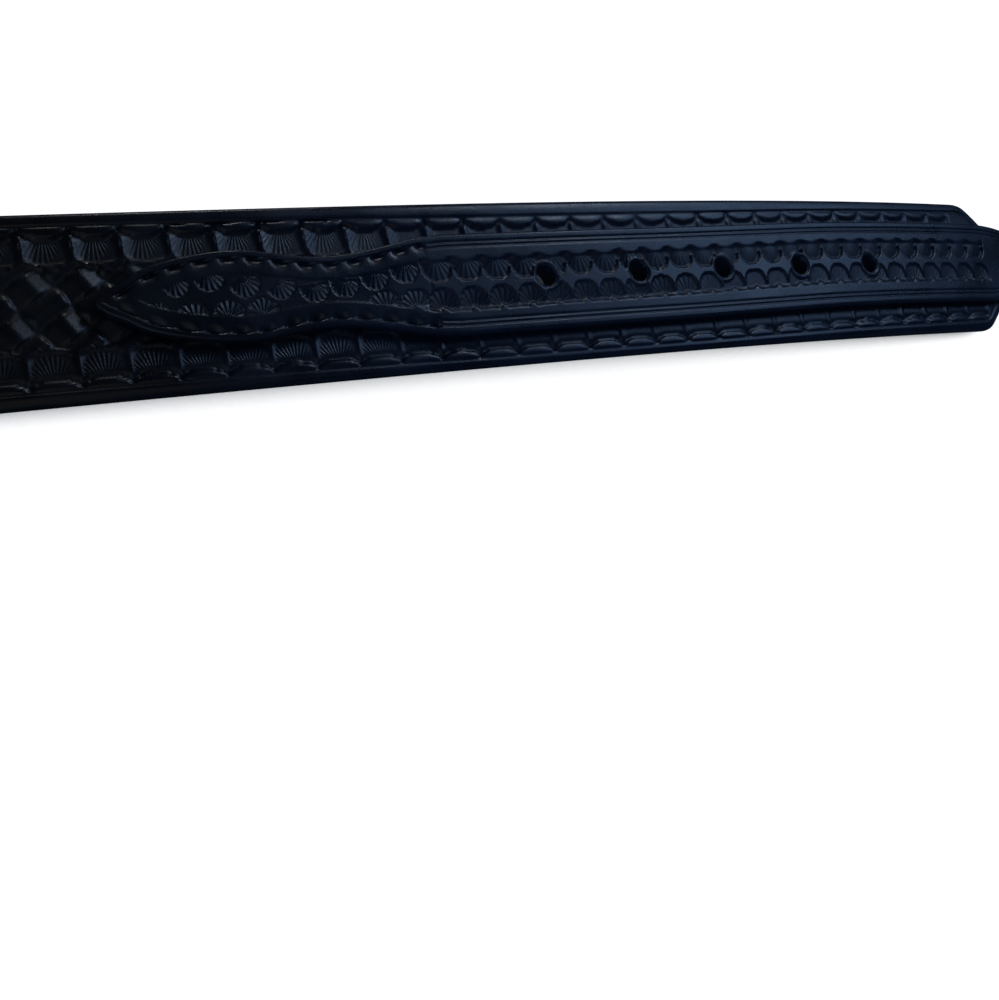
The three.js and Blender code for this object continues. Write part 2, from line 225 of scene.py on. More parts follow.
class BeltForm:
    """Stations, levels and outlines of the belt in millimetres, worked out as the CAD model does."""

    def __init__(self, sizes):
        self.strap_half = sizes.strap_width / MM / 2
        self.thickness = sizes.strap_thickness / MM
        self.tongue_half = sizes.tongue_width / MM / 2
        self.overlay_thickness = sizes.overlay_thickness / MM
        self.hole_diameter = sizes.hole_diameter / MM
        self.edge_pitch = sizes.edge_shell_pitch / MM
        self.small_pitch = sizes.small_shell_pitch / MM
        self.depth = sizes.tooling_depth
        self.fold_radius = RAIL_DIAMETER / 2 + GAP + self.thickness / 2
        self.bar_height = self.fold_radius + self.thickness / 2
        self.floor_level = self.thickness / 2
        self.fold_level = self.floor_level + 2 * self.fold_radius
        self.flap_level = self.thickness + GAP + self.thickness / 2
        self.keeper_level = self.flap_level + KEEPER_THICKNESS + GAP
        self.keeper_start = BEND_LENGTH + LEVEL_MARGIN
        self.keeper_end = self.keeper_start + KEEPER_WIDTH
        self.clamp_start = self.keeper_end + LEVEL_MARGIN + BEND_LENGTH
        first_screw = self.clamp_start + SCREW_HEAD_DIAMETER / 2
        self.screws = (first_screw, first_screw + SCREW_PITCH)
        self.flap_end = self.screws[1] + SCREW_HEAD_DIAMETER / 2 + FLAP_MARGIN
        self.drop_start = self.flap_end + LEVEL_MARGIN
        self.drop_end = self.drop_start + DROP_LENGTH
        self.wide_start = self.drop_end + SHOULDER_LENGTH
        self.first_hole = BELT_SIZE - (HOLE_COUNT - 1) / 2 * HOLE_PITCH
        self.last_hole = self.first_hole + (HOLE_COUNT - 1) * HOLE_PITCH
        self.tip = self.last_hole + TIP_REACH
        self.wide_end = self.last_hole + SHOULDER_REACH
        self.overlay_start = self.first_hole - SPADE_REACH
        self.arch_start = self.tip - ARCH_LENGTH
        steps = np.arange(0.0, self.tip + 2.0)
        slopes = self.slope(steps[:-1] + 0.5)
        self.trace = (steps, np.concatenate([[0.0], np.cumsum(np.sqrt(1.0 - slopes ** 2))]))
        strap_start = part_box("body_strap")[0][0] / MM
        self.bar_x = strap_start + self.fold_radius + self.thickness / 2

    def height(self, station):
        """Height of the strap's middle: level stretches joined by eased drops, then a long low arch."""
        bends = (
            (0.0, BEND_LENGTH, self.fold_level - self.keeper_level),
            (self.keeper_end + LEVEL_MARGIN, self.clamp_start, self.keeper_level - self.flap_level),
            (self.drop_start, self.drop_end, self.flap_level - self.floor_level),
        )
        drops = sum(drop * eased(station, start, end) for start, end, drop in bends)
        u = share(station, self.arch_start, self.tip)
        arch_peak = 27 / 256
        return self.fold_level - drops + ARCH_RISE / arch_peak * u ** 3 * (1.0 - u)

    def slope(self, station):
        return self.height(station + 0.5) - self.height(station - 0.5)

    def run(self, station):
        """X, Z and slope angle of the strap's middle: X is traced so that lengths stay the strap's own."""
        station = np.asarray(station, float)
        return np.interp(station, *self.trace), self.height(station), np.arcsin(self.slope(station))

    def tip_half(self, station):
        """Half width that closes the tip: half of an ellipse."""
        u = share(station, self.tip - TIP_LENGTH, self.tip)
        return self.tongue_half * np.maximum(BLUNTEST_TIP, np.sqrt(1.0 - u * u))

    def strap_outline(self, station):
        """Half width of the strap: wide between two shoulders, with a tongue at each end."""
        way_in = share(station, self.drop_end, self.wide_start)
        way_out = share(station, self.wide_end, self.wide_end + SHOULDER_LENGTH)
        shares = [smooth_outline(SHOULDER_OUTLINE, way) for way in (1.0 - way_in, way_out)]
        excess = np.minimum(*shares)
        extra = (self.strap_half - self.tongue_half) * excess
        return np.minimum(self.tongue_half, self.tip_half(station)) + extra

    def overlay_outline(self, station):
        """Half width of the raised layer: the spade's outline, then straight to the tip."""
        along = share(station, self.overlay_start, self.overlay_start + SPADE_LENGTH)
        return np.minimum(self.tongue_half * smooth_outline(SPADE_OUTLINE, along), self.tip_half(station))


class Relief:
    """Tooling over a grid of points: height in millimetres and what the leather's material reads."""

    def __init__(self, shape):
        self.height = np.zeros(shape)
        self.flute_turns = np.zeros(shape)
        self.flute_depth = np.zeros(shape)

    def press(self, where, height, turns=0.0, depth=0.0):
        """Sets the points where a stamp was struck."""
        self.height = np.where(where, height, self.height)
        self.flute_turns = np.where(where, turns, self.flute_turns)
        self.flute_depth = np.where(where, depth, self.flute_depth)


# Tooling of the strap, in millimetres
EDGE_ROUNDING = 0.8
EDGE_CROWN = (2.5, 0.6)
EDGE_GROOVE = 2.8
EDGE_LINE = 3.15
FIRST_PARTITION = -112.8
TOP_ROW_SHIFT = 0.25
ROW_ENDS = (152.5, 144.0)
HUB_HALF = 4.65
HUB_HEIGHTS = (2.1, 1.85)
SHELL_ARCH_SIDE = 5.8
SHELL_ARCH_RISE = 2.0
FAN_CENTRE = 2.6
FAN_RADIUS = 4.9
FLUTES_PER_TURN = 40.0
GENTLE_WALL = 0.27
STEEP_WALL = 0.6
FLUTE_DEPTH = 0.16
FLUTES_FADE = (-60.0, -15.0)
SHELLS_SHALLOWER = (-45.0, 10.0)
BORDER_DROP = 0.4
BORDER_DROP_WIDTH = 2.4
WEAVE_TURN = np.radians(34.0)
WEAVE_CENTRE = (-110.1, 4.15)
WEAVE_LONG = 8.5
WEAVE_SHORT = 5.0
WEAVE_END = -45.0


def press_weave(relief, form, reach, across):
    """Basket weave: cells in a chequer, each a strand's hump that dives at its two ends.

    A hump is level for a quarter of its half length and then falls in a straight facet to the next strand.
    """
    ds, dt = reach - WEAVE_CENTRE[0], across - WEAVE_CENTRE[1]
    p = (ds * np.cos(WEAVE_TURN) + dt * np.sin(WEAVE_TURN)) / WEAVE_LONG + 0.5
    q = (dt * np.cos(WEAVE_TURN) - ds * np.sin(WEAVE_TURN)) / WEAVE_SHORT + 0.5
    rising = (np.floor(p) + np.floor(q)) % 2 < 1
    u, v = np.abs(2 * (p % 1) - 1), np.abs(2 * (q % 1) - 1)
    rising_hump = -0.04 - 1.05 * np.maximum(u - 0.2, 0.0) - 0.2 * v ** 10
    falling_hump = -0.08 - 1.0 * np.maximum(v - 0.2, 0.0) ** 1.2 - 0.2 * u ** 12
    woven = (reach < WEAVE_END) & (reach > form.wide_start + 12.0 - form.first_hole)
    woven &= np.abs(across) < form.strap_half - EDGE_LINE
    relief.press(woven, np.where(rising, rising_hump, falling_hump))


def press_edge_shells(relief, form, reach, across):
    """A row of shells along each edge: a half-moon hub at the border and a fluted scoop up to an arch.

    The hub is a half ellipse on the border. The arch lies side + rise * sqrt(1 - x^2) from the border,
    where x is the share of the way from the shell's middle to its side. The scoop falls from its sides by
    a gentle and a steep wall to a floor whose depth changes from the hub to the arch. Ridges stand between
    neighbours and round the arches, and the flutes fan out within a round patch.
    """
    pitch = form.edge_pitch
    inwards = form.strap_half - EDGE_LINE - np.abs(across)
    hub_height = np.where(across > 0, HUB_HEIGHTS[0], HUB_HEIGHTS[1])
    first = FIRST_PARTITION + np.where(across > 0, TOP_ROW_SHIFT * pitch, 0.0)
    cell = np.floor((reach - first) / pitch)
    row_start = form.wide_start + 4.0 - form.first_hole
    row_end = np.where(across > 0, ROW_ENDS[1], ROW_ENDS[0])
    whole = (first + cell * pitch > row_start) & (first + (cell + 1) * pitch < row_end)
    ds = reach - first - (cell + 0.5) * pitch
    arch = SHELL_ARCH_SIDE + SHELL_ARCH_RISE * np.sqrt(np.clip(1 - (2 * ds / pitch) ** 2, 0, 1))
    hub = np.sqrt((ds / HUB_HALF) ** 2 + (inwards / hub_height) ** 2)
    rise = share(inwards, hub_height * 0.7, arch)
    upper_floor = (0.85 - 0.45 * rise) * (1 - 0.5 * eased(reach, *SHELLS_SHALLOWER))
    lower_floor = 0.2 + 0.5 * np.exp(-(rise / 0.13) ** 2) + 0.45 * rise ** 3
    deepest = np.where(across > 0, upper_floor, lower_floor)
    walls = np.minimum(GENTLE_WALL * (pitch / 2 + ds), STEEP_WALL * (pitch / 2 - ds))
    scoop = -0.05 - np.minimum(deepest, walls + (1 - eased(inwards, 0.3, 2.2)) * deepest)
    ridge = line_mark(pitch / 2 - np.abs(ds), 0.25) * eased(inwards, 1.4, 3.0)
    rim = line_mark(inwards - arch, 0.35)
    height = scoop + (-0.05 - scoop) * np.maximum(ridge, rim)
    height = np.where(hub < 1, -0.26 * hub ** 5, height)
    turns = np.arctan2(ds, np.maximum(inwards, 0.2)) / (2 * np.pi) * FLUTES_PER_TURN
    fan = np.hypot((ds + np.where(across > 0, 1.2, 0.3)) * 1.25, inwards - FAN_CENTRE)
    depth = FLUTE_DEPTH * (1 - eased(fan, FAN_RADIUS - 0.8, FAN_RADIUS)) * eased(inwards, 2.4, 3.4)
    depth *= 1 - eased(reach, *FLUTES_FADE)
    relief.press(whole & (inwards > 0) & (inwards < arch + 0.5), height, turns, depth)


def strap_relief(form, station, across, half, slant):
    """Relief of the strap's face: weave, a row of shells along each edge and a line that follows the edge.

    Along the -Y edge the border sinks by drop * (1 - edge / width)^1.5, as it is rubbed down more there.
    """
    reach = station - form.first_hole
    tooled = across - smooth_outline(EDGE_DRIFT, reach)
    edge = (half - np.abs(tooled)) * slant
    relief = Relief(across.shape)
    press_weave(relief, form, reach, across)
    press_edge_shells(relief, form, reach, tooled)
    relief.height -= 0.25 * line_mark(edge - EDGE_GROOVE, 0.34)
    rubbed = BORDER_DROP * (1 - share(edge, 0.0, BORDER_DROP_WIDTH)) ** 1.5 * eased(edge, 0.0, EDGE_ROUNDING)
    relief.height -= np.where(across < 0, rubbed, 0.0)
    return relief


# Tooling of the raised layer, in millimetres
RIM_WIDTH = 1.65
RIM_ROUNDING = 0.55
RIM_CROWN = (1.3, 0.12)
GROOVES = (2.05, 3.05)
SPADE_TOOLED_END = -28.6
BEVEL_PITCH = 5.35
BEVEL_START = -61.4
SMALL_SHELL_START = 2.2
SMALL_SHELLS_BACK = 4
SMALL_SHELLS_ON = 20
SMALL_SHELL_FLUTES = 19.0
LOWER_ROW = 5.75
UPPER_ROW = 6.4
WORN_RIM_WIDTH = 0.7
WORN_RIM_DEPTH = 0.35


def small_shells(form):
    """The spade's shells and two straight rows, whose flutes are worn away towards the tip.

    Each is reach, across, half width, length, turn, hub share, depth, floor, fall and flute depth.
    """
    reach = SMALL_SHELL_START + form.small_pitch * np.arange(-SMALL_SHELLS_BACK, SMALL_SHELLS_ON + 1)
    drift = smooth_outline(ROW_DRIFT, reach)
    spade = [(*shell, 0.35, 0.4, 0.2, 0.5, 0.5) for shell in SPADE_SHELLS]
    wear = eased(reach, 0.0, 60.0)
    rows = list(zip(reach, drift, wear))
    lower = [(x, y - LOWER_ROW, 3.55, 5.1, 0.0, 0.34, 0.95, 0.6, -0.25, 0.65 - 0.57 * w) for x, y, w in rows]
    upper = [(x, y + UPPER_ROW, 3.6, 5.35, 180.0, 0.9, 0.8, 0.15, 0.65, 0.3 - 0.26 * w) for x, y, w in rows]
    return [*spade, *lower, *upper]


def press_small_shell(relief, reach, across, shell):
    """One shell: a square-sided half ellipse with a hub and flutes that fan from it.

    Its depth is floor + fall * radius^1.8, so that it deepens or rises towards its arch.
    """
    centre, middle, wide, long, turn, hub_share, deep, floor, fall, crisp = shell
    turn = np.radians(turn)
    ds, dt = reach - centre, across - middle
    x = ds * np.cos(turn) + dt * np.sin(turn)
    y = dt * np.cos(turn) - ds * np.sin(turn)
    radius = (np.abs(x / wide) ** 2.6 + np.abs(y / long) ** 2.6) ** (1 / 2.6)
    hub = np.sqrt((x / (wide * hub_share)) ** 2 + (y / (long * 0.2)) ** 2)
    height = -deep * (floor + fall * radius ** 1.8) * eased(y, -0.3, 0.9)
    height = np.where(hub < 1, -0.01 - 0.24 * deep * hub ** 5, height)
    turns = np.arctan2(x, np.maximum(y + 0.2, 0.05)) / (2 * np.pi) * SMALL_SHELL_FLUTES
    depth = crisp * eased(radius, 0.22, 0.4) * (1 - eased(radius, 0.9, 1.0)) * (hub > 1.1) * eased(y, 0.5, 1.6)
    relief.press((radius < 1) & (y > 0), height, turns, depth)


def overlay_relief(form, station, across, half, slant):
    """Relief of the raised layer: a rounded rim, then bevel marks on the spade or two grooves, and shells.

    The face sinks a little round each prong hole, where the prong has worn it.
    """
    reach = station - form.first_hole
    edge = np.minimum((half - np.abs(across)) * slant, station - form.overlay_start)
    relief = Relief(across.shape)
    for shell in small_shells(form):
        press_small_shell(relief, reach, across, shell)
    straight = eased(reach, SPADE_TOOLED_END - 0.25, SPADE_TOOLED_END + 0.25)
    band = eased(edge, 4.9, 5.5)
    field = -0.1 * (1 - straight)
    relief.height = np.where(relief.height < 0, relief.height * band, field * band)
    relief.flute_depth *= band
    along = reach - HOLE_PITCH * np.clip(np.round(reach / HOLE_PITCH), 0, HOLE_COUNT - 1)
    hole = np.hypot(along, across + smooth_outline(LAYER_DRIFT, reach)) - form.hole_diameter / 2
    smooth = eased(hole, WORN_RIM_WIDTH, WORN_RIM_WIDTH + 0.5)
    relief.height = relief.height * smooth - WORN_RIM_DEPTH * (1 - eased(hole, 0.0, WORN_RIM_WIDTH))
    relief.flute_depth *= smooth
    grooves = 0.2 * line_mark(edge - GROOVES[0], 0.22) + 0.2 * line_mark(edge - GROOVES[1], 0.2)
    marks = 0.55 + 0.45 * np.tanh(1.5 * np.cos(2 * np.pi * (reach - BEVEL_START) / BEVEL_PITCH))
    past = np.maximum(edge - RIM_WIDTH, 0.0)
    bevel = np.exp(-(past / 0.95) ** 1.5) * marks + 0.04 * np.exp(-past / 2.2)
    bevel *= eased(edge, RIM_WIDTH - 0.2, RIM_WIDTH + 0.1)
    relief.height -= straight * grooves + (1 - straight) * bevel
    return relief


def section_across(half, edge_rows, middle_rows):
    """Places across a section: edge rows measured from each side, then even rows between them.

    edge_rows are distances from the edge. They shrink together where the section is too narrow for them.
    """
    fit = np.minimum(1.0, half / (2.0 * edge_rows[-1]))[:, None]
    near = np.array(edge_rows)[None, :] * fit
    half = half[:, None]
    inner = half - near[:, -1:]
    middle = inner * np.linspace(-1.0, 1.0, middle_rows + 2)[None, 1:-1]
    return np.concatenate([near - half, middle, (half - near)[:, ::-1]], axis=1)


def rounded_edge(distance, reach, rise):
    """Height of a section over its middle: a quarter ellipse at the edge, then flat at rise."""
    u = np.clip(1.0 - distance / reach, 0.0, 1.0)
    return rise * np.sqrt(1.0 - u * u)


def leather_band(form, name, path, half, station, middle, layout, relief_of):
    """Closed band of leather: a section with rounded edges carried along a path, with relief on its face.

    path is X, Z and angle at each ring. A point of the section stands square to the path:
    X - h * sin(angle), across, Z + h * cos(angle).
    """
    x, z, angle = path
    radius, rounding, (crown, crown_rise), edge_rows, middle_rows, offset = layout
    face = section_across(half, edge_rows, middle_rows)
    back_edges = radius * (1.0 - np.cos(np.radians((22.5, 45.0, 67.5, 90.0))))
    back = section_across(half, back_edges, 6)[:, ::-1]
    rising_station = np.maximum.accumulate(station + 1e-6 * np.arange(len(half)))
    slant = 1.0 / np.sqrt(1.0 + np.gradient(half, rising_station) ** 2)
    across = np.concatenate([face, back], axis=1)
    edge = half[:, None] - np.abs(across)
    stations = np.broadcast_to(station[:, None], face.shape)
    relief = relief_of(form, stations, face, half[:, None], slant[:, None])
    face_edge = edge[:, :face.shape[1]]
    drop = np.where(face_edge > 0.0, relief.height * form.depth, 0.0)
    corner = rounded_edge(face_edge, rounding, radius - crown_rise)
    face_height = corner + rounded_edge(face_edge, crown, crown_rise) + drop
    back_height = -rounded_edge(edge[:, face.shape[1]:], radius, radius)
    out = np.concatenate([face_height, back_height], axis=1) + offset
    sine, cosine = np.sin(angle)[:, None], np.cos(angle)[:, None]
    points = np.stack([x[:, None] - out * sine, across + middle[:, None], z[:, None] + out * cosine], axis=-1)
    plain = np.zeros(back.shape)
    marks = {
        "flute_turns": np.concatenate([relief.flute_turns, plain], axis=1),
        "flute_depth": np.concatenate([relief.flute_depth, plain], axis=1),
        # recess is the stamp's depth; the leather's material darkens the colour with it as painted shade and
        # makes it duller
        "recess": np.concatenate([np.clip(-drop, 0.0, 1.0), plain], axis=1),
        "flesh": np.concatenate([np.zeros(face.shape), plain + 1.0], axis=1),
    }
    return skin(name, points, False, marks)


def skin(name, points, endless, marks=None):
    """Closed mesh through rings of points in millimetres: quads between rings, and a cap at each open end.

    points has the shape rings, rows, 3. marks are values kept on the points as attributes.
    """
    rings, rows, _ = points.shape
    index = np.arange(rings * rows).reshape(rings, rows)
    here = index if endless else index[:-1]
    ahead = np.roll(index, -1, axis=0) if endless else index[1:]
    quads = np.stack([here, ahead, np.roll(ahead, -1, axis=1), np.roll(here, -1, axis=1)], axis=-1)
    faces = quads.reshape(-1, 4).tolist()
    if not endless:
        faces += [index[0].tolist(), index[-1][::-1].tolist()]
    mesh = bpy.data.meshes.new(name)
    mesh.from_pydata((points.reshape(-1, 3) * MM).tolist(), [], faces)
    for key, values in (marks or {}).items():
        mesh.attributes.new(key, "FLOAT", "POINT").data.foreach_set("value", values.astype(np.float32).ravel())
    return mesh


def merged(name, meshes):
    """One mesh that holds several closed meshes side by side."""
    vertices, faces, start = [], [], 0
    for mesh in meshes:
        places = np.empty(len(mesh.vertices) * 3)
        mesh.vertices.foreach_get("co", places)
        vertices.append(places.reshape(-1, 3))
        faces += [[start + corner for corner in polygon.vertices] for polygon in mesh.polygons]
        start += len(mesh.vertices)
        bpy.data.meshes.remove(mesh)
    whole = bpy.data.meshes.new(name)
    whole.from_pydata(np.concatenate(vertices).tolist(), [], faces)
    return whole


def raw_walls(mesh):
    """Marks a cutter's surface, so that the wall it leaves in the leather is undyed and rough like the back."""
    for key in ("flute_turns", "flute_depth", "recess", "flesh"):
        value = 1.0 if key == "flesh" else 0.0
        values = np.full(len(mesh.vertices), value, np.float32)
        mesh.attributes.new(key, "FLOAT", "POINT").data.foreach_set("value", values)
    return mesh


def turned(name, profile, sides, middle, tilt=0.0):
    """Solid turned about an upright axis through X = middle[0] at Z = middle[1].

    profile holds radius and height pairs from the bottom of the axis to its top. tilt leans it along X.
    """
    radius, height = np.array(profile, float).T
    angle = np.linspace(0.0, 2 * np.pi, sides, endpoint=False)
    flat = np.stack([radius[:, None] * np.cos(angle), radius[:, None] * np.sin(angle),
                     np.broadcast_to(height[:, None], (len(radius), sides))], axis=-1)
    leaning = np.stack([flat[..., 0] * np.cos(tilt) - flat[..., 2] * np.sin(tilt) + middle[0], flat[..., 1],
                        flat[..., 0] * np.sin(tilt) + flat[..., 2] * np.cos(tilt) + middle[1]], axis=-1)
    return skin(name, leaning[:, ::-1], False)


def tube(name, centres, outwards, upwards, radii, sides, endless):
    """Round rod along a path: circles of the given radii in the plane of outwards and upwards."""
    angle = np.linspace(0.0, 2 * np.pi, sides, endpoint=False)[None, :, None]
    ring = np.cos(angle) * outwards[:, None] + np.sin(angle) * upwards[:, None]
    return skin(name, centres[:, None] + radii[:, None, None] * ring, endless)


def shifted(mesh, form):
    """Moves a mesh from the strap's own X to the belt's X, where the bar stands."""
    places = np.empty(len(mesh.vertices) * 3)
    mesh.vertices.foreach_get("co", places)
    places = places.reshape(-1, 3)
    places[:, 0] += form.bar_x * MM
    mesh.vertices.foreach_set("co", places.ravel())
    mesh.update()


def make_piece(mesh, form, material, nodes, sharp_angle=70.0):
    """Puts a mesh into the scene as a piece that stands for CAD nodes."""
    shifted(mesh, form)
    mesh.materials.clear()
    mesh.materials.append(material)
    mesh.polygons.foreach_set("use_smooth", np.ones(len(mesh.polygons), bool))
    mesh.set_sharp_from_angle(angle=np.radians(sharp_angle))
    piece = bpy.data.objects.new(mesh.name, mesh)
    bpy.context.scene.collection.objects.link(piece)
    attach(piece, "root")
    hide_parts(*nodes)
    return piece


def cut_away(mesh, cutter_mesh):
    """The mesh with the cutters taken out of it, as a new mesh of the same name."""
    name = mesh.name
    body = bpy.data.objects.new(name, mesh)
    cutter = bpy.data.objects.new(name + "_cutter", cutter_mesh)
    for thing in (body, cutter):
        bpy.context.scene.collection.objects.link(thing)
    cut = body.modifiers.new("Punch", "BOOLEAN")
    cut.operation, cut.solver, cut.object = "DIFFERENCE", "EXACT", cutter
    graph = bpy.context.evaluated_depsgraph_get()
    result = bpy.data.meshes.new_from_object(body.evaluated_get(graph))
    for thing in (body, cutter):
        bpy.data.objects.remove(thing)
    for old in (mesh, cutter_mesh):
        bpy.data.meshes.remove(old)
    result.name = name
    return result


def hole_cutters(form):
    """Round punches square to the strap at each prong hole."""
    reach = form.thickness + form.overlay_thickness + 2.0
    radius = form.hole_diameter / 2
    profile = ((radius, -reach), (radius, reach))
    punches = []
    for station in form.first_hole + HOLE_PITCH * np.arange(HOLE_COUNT):
        x, z, angle = form.run(station)
        punches.append(turned("punch", profile, 40, (float(x), float(z)), float(angle)))
    return punches


def screw_cutters(form):
    """Stepped punches for the posts: a shank hole through the fold with a sunk seat under it."""
    shank, head = SCREW_SHANK_DIAMETER / 2 + GAP, SCREW_HEAD_DIAMETER / 2 + GAP
    seat, top = SCREW_HEAD_THICKNESS + GAP, form.flap_level + form.thickness / 2 + 2.0
    profile = ((head, -2.0), (head, seat), (shank, seat), (shank, top))
    return [turned("seat", profile, 48, (float(form.run(station)[0]), 0.0)) for station in form.screws]


def prong_slot_cutter(form):
    """Box round the fold that lets the prong pass."""
    reach = form.fold_radius + form.thickness
    low, high = form.bar_height - reach - 2.0, form.bar_height + reach + 2.0
    half = SLOT_WIDTH / 2
    corners = [[(x, -half, low), (x, -half, high), (x, half, high), (x, half, low)]
               for x in (-reach, SLOT_REACH)]
    return skin("slot", np.array(corners), False)


# Rows of points beside each edge, as distances from it in millimetres: close where lines follow the edge
STRAP_EDGE_ROWS = (
    0.0, 0.06, 0.22, 0.45, 0.75, 1.15, 1.6, 2.0, 2.3, 2.55, 2.8, 3.05, 3.3, *np.arange(3.6, 9.6, 0.5),
)
OVERLAY_EDGE_ROWS = (
    0.0, 0.06, 0.2, 0.42, 0.66, 0.9, 1.2, 1.45, 1.65, 1.85, 2.05, 2.3, 2.55, 2.8, 3.05, 3.3, 3.6,
)


def strap_mesh(form):
    """The strap: a flap under the fold, a half circle round the bar, and the run to the tip."""
    flap_x = spaced(float(form.run(form.flap_end)[0]), 0.0, 4.0)
    fold = np.linspace(np.pi, 0.0, 16, endpoint=False)
    pitch = form.edge_pitch
    shells = form.first_hole + FIRST_PARTITION
    run = np.concatenate([
        spaced(0.0, form.drop_end, 2.4), spaced(form.drop_end, form.wide_start, 1.2),
        spaced(form.wide_start, shells - 2 * pitch, pitch / 5),
        spaced(shells - 2 * pitch, shells + 14 * pitch, pitch / 20),
        spaced(shells + 14 * pitch, shells + 28 * pitch, pitch / 16),
        spaced(shells + 28 * pitch, form.tip - 4.0, 0.8), spaced(form.tip - 4.0, form.tip, 0.3), [form.tip],
    ])
    run_x, run_z, run_angle = form.run(run)
    path = (
        np.concatenate([flap_x, -form.fold_radius * np.sin(fold), run_x]),
        np.concatenate([np.full(len(flap_x), form.floor_level),
                        form.bar_height + form.fold_radius * np.cos(fold), run_z]),
        np.concatenate([np.full(len(flap_x), np.pi), fold, run_angle]),
    )
    station = np.concatenate([np.linspace(-80.0, -1.0, len(flap_x) + len(fold)), run])
    half = form.strap_outline(station)
    layout = (form.thickness / 2, EDGE_ROUNDING, EDGE_CROWN, STRAP_EDGE_ROWS, 36, 0.0)
    mesh = leather_band(form, "strap", path, half, station, np.zeros(len(station)), layout, strap_relief)
    cutters = hole_cutters(form) + screw_cutters(form) + [prong_slot_cutter(form)]
    return cut_away(mesh, raw_walls(merged("strap_punches", cutters)))


def overlay_mesh(form):
    """The raised layer on the tip, glued on the strap's face."""
    station = np.concatenate([
        spaced(form.overlay_start, form.tip - 24.0, 0.33), spaced(form.tip - 24.0, form.tip, 0.5), [form.tip]])
    half = form.overlay_outline(station)
    offset = form.thickness / 2 + GAP + form.overlay_thickness / 2
    layout = (form.overlay_thickness / 2, RIM_ROUNDING, RIM_CROWN, OVERLAY_EDGE_ROWS, 44, offset)
    middle = smooth_outline(LAYER_DRIFT, station - form.first_hole)
    path = form.run(station)
    mesh = leather_band(form, "tip_layer", path, half, station, middle, layout, overlay_relief)
    return cut_away(mesh, raw_walls(merged("layer_punches", hole_cutters(form))))


def buckle_meshes(form):
    """Round rod bent into a rounded rectangle that leans from the bar to the floor, and a straight prong."""
    radius = RAIL_DIAMETER / 2
    rise = radius - form.bar_height
    root = np.array([0.0, 0.0, form.bar_height])
    length = np.hypot(BUCKLE_REACH, rise)
    forwards = np.array([-BUCKLE_REACH, 0.0, rise]) / length
    sideways = np.array([0.0, 1.0, 0.0])
    upwards = np.cross(sideways, forwards)
    half = form.tongue_half + BUCKLE_SIDE_ROOM + radius
    heel = BUCKLE_SIDE_ROOM + radius
    front = FRONT_CORNER_RADIUS
    corners = ((length - front, half - front, front), (heel, half - heel, heel),
               (heel, heel - half, heel), (length - front, front - half, front))
    centres, outwards = [], []
    for turn, (along, across, bend) in enumerate(corners):
        angle = ((turn + np.linspace(0.0, 1.0, 13)) * np.pi / 2)[:, None]
        out = np.cos(angle) * forwards + np.sin(angle) * sideways
        centres.append(root + along * forwards + across * sideways + bend * out)
        outwards.append(out)
    centres, outwards = np.concatenate(centres), np.concatenate(outwards)
    lift = np.broadcast_to(upwards, centres.shape)
    rails = tube("rails", centres, outwards, lift, np.full(len(centres), radius), 28, True)

    seat = np.array([-BUCKLE_REACH, 0.0, RAIL_DIAMETER + PRONG_DIAMETER / 2 - PRONG_SEAT])
    reach = np.linalg.norm(seat - root)
    way = (seat - root) / reach
    cap = np.linspace(0.0, np.pi / 2, 9)
    tip = PRONG_DIAMETER / 2
    body = reach + PRONG_OVERHANG
    along = np.concatenate([-tip * np.cos(cap[:-1]), np.linspace(0.0, body, 14), body + tip * np.sin(cap[1:])])
    thick = np.concatenate([tip * np.sin(cap[:-1]), np.full(14, tip), tip * np.cos(cap[1:])])
    thick = np.maximum(thick, 0.02)
    side = np.broadcast_to(sideways, (len(along), 3))
    over = np.broadcast_to(np.cross(way, sideways), (len(along), 3))
    prong = tube("prong", root + along[:, None] * way, side, over, thick, 24, False)
    return merged("buckle_frame", [rails, prong])


def keeper_mesh(form):
    """Flat leather band round the strap: a section with rounded edges and two crease lines, carried round."""
    inner_half = form.tongue_half + KEEPER_SIDE_ROOM
    stack = form.thickness + GAP + form.overlay_thickness
    bottom = form.keeper_level - form.thickness / 2 - GAP
    top = bottom + form.thickness + GAP + stack + KEEPER_HEAD_ROOM
    bend = KEEPER_INNER_RADIUS
    ring_y, ring_z, ring_turn = [], [], []
    corners = ((inner_half - bend, top - bend, 0.0), (bend - inner_half, top - bend, 1.0),
               (bend - inner_half, bottom + bend, 2.0), (inner_half - bend, bottom + bend, 3.0))
    for across, height, turn in corners:
        angle = (turn + np.linspace(0.0, 1.0, 9)) * np.pi / 2
        ring_y.append(np.full(9, across))
        ring_z.append(np.full(9, height))
        ring_turn.append(angle)
    ring_y, ring_z, ring_turn = (np.concatenate(part)[:, None] for part in (ring_y, ring_z, ring_turn))
    width, wall, rounding = KEEPER_WIDTH, KEEPER_THICKNESS, 0.6
    x = np.concatenate([[0.0, 0.08, 0.3, rounding], np.linspace(1.0, width - 1.0, 33),
                        [width - rounding, width - 0.3, width - 0.08, width]])
    edge = np.minimum(x, width - x)
    outer = wall - rounding + rounded_edge(edge, rounding, rounding) - 0.18 * line_mark(edge - 1.5, 0.22)
    inner = rounding - rounded_edge(edge, rounding, rounding)
    along = np.concatenate([x, x[::-1]])[None, :]
    out = bend + np.concatenate([outer, inner[::-1]])[None, :]
    points = np.stack([np.broadcast_to(along, (len(ring_y), along.shape[1])) + form.run(form.keeper_start)[0],
                       ring_y + out * np.cos(ring_turn), ring_z + out * np.sin(ring_turn)], axis=-1)
    return skin("keeper", points[:, ::-1], True)


